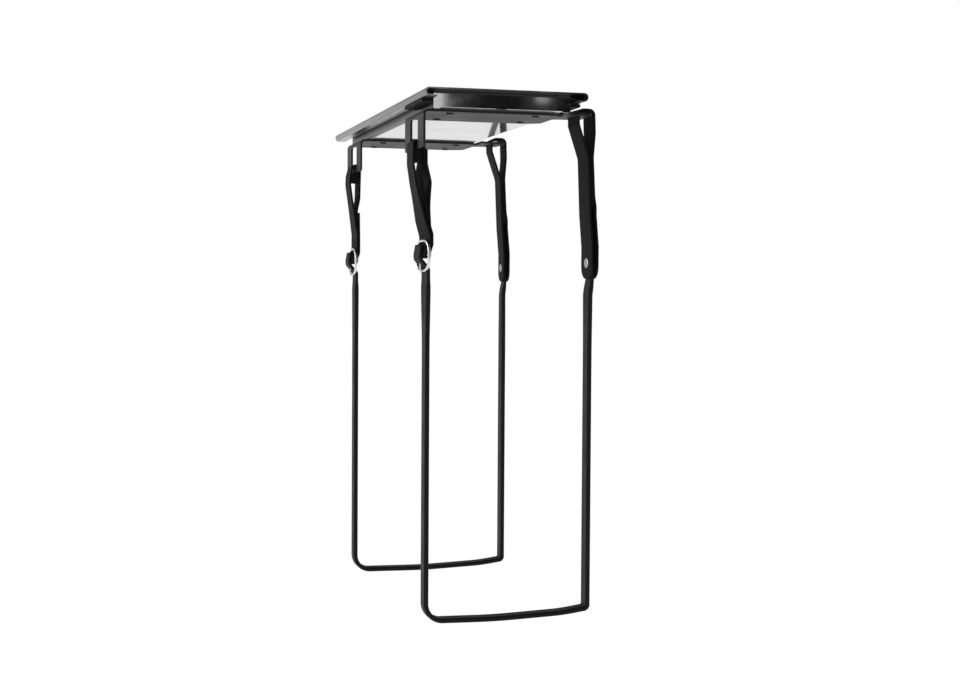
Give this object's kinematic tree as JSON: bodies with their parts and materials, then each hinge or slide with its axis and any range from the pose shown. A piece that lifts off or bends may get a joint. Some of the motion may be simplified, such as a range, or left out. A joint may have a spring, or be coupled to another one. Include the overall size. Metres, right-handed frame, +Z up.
{
  "type": "cpu holder",
  "caption": "Under-desk sliding holder for a desktop computer: a steel track and carriage carry adjustable black slings on buckled webbing straps.",
  "frame": {"origin": "centre of the track's flat top face, which screws to the underside of a desk", "axes": "+Z up towards the desk, +X across the width with the buckles at -X, -Y towards the user, the way the carriage slides out"},
  "size_m": [0.2263, 0.54, 0.598],
  "materials": {
    "black_steel": "satin",
    "stop_rubber": "matt",
    "gloss_paint": "gloss",
    "gloss_black": "gloss",
    "black_nylon": "matt",
    "dark_rivet": "satin",
    "webbing": "woven",
    "bright_plate": "nickel plate",
    "band_black": "satin"
  },
  "bodies": {
    "track": {"track": "black_steel", "front_limit_stops": "stop_rubber", "rear_limit_stops": "stop_rubber"},
    "carriage": {"carriage_pan": "gloss_paint", "front_fascia": "gloss_black", "front_left_glide": "black_nylon", "front_right_glide": "black_nylon", "rear_left_glide": "black_nylon", "rear_right_glide": "black_nylon", "near_hanger": "black_steel", "near_hanger_rivets": "dark_rivet", "near_right_strap": "webbing", "near_strap_rivet": "bright_plate", "near_left_strap": "webbing", "near_band": "band_black", "near_buckle_frame": "bright_plate", "far_hanger": "black_steel", "far_hanger_rivets": "dark_rivet", "far_right_strap": "webbing", "far_strap_rivet": "bright_plate", "far_left_strap": "webbing", "far_band": "band_black", "far_buckle_frame": "bright_plate"},
    "near_prong": {"near_prong": "bright_plate"},
    "far_prong": {"far_prong": "bright_plate"}
  },
  "joints": [
    {"name": "carriage_slide", "type": "slide", "parent": "track", "child": "carriage", "axis": [0, -1, 0], "range_m": [0, 0.24]},
    {"name": "near_prong_hinge", "type": "hinge", "parent": "carriage", "child": "near_prong", "pos_m": [-0.0731, -0.18, -0.1785], "axis": [0, 1, 0], "range_deg": [0, 25]},
    {"name": "far_prong_hinge", "type": "hinge", "parent": "carriage", "child": "far_prong", "pos_m": [-0.0851, 0.178, -0.1785], "axis": [0, 1, 0], "range_deg": [0, 25]}
  ]
}
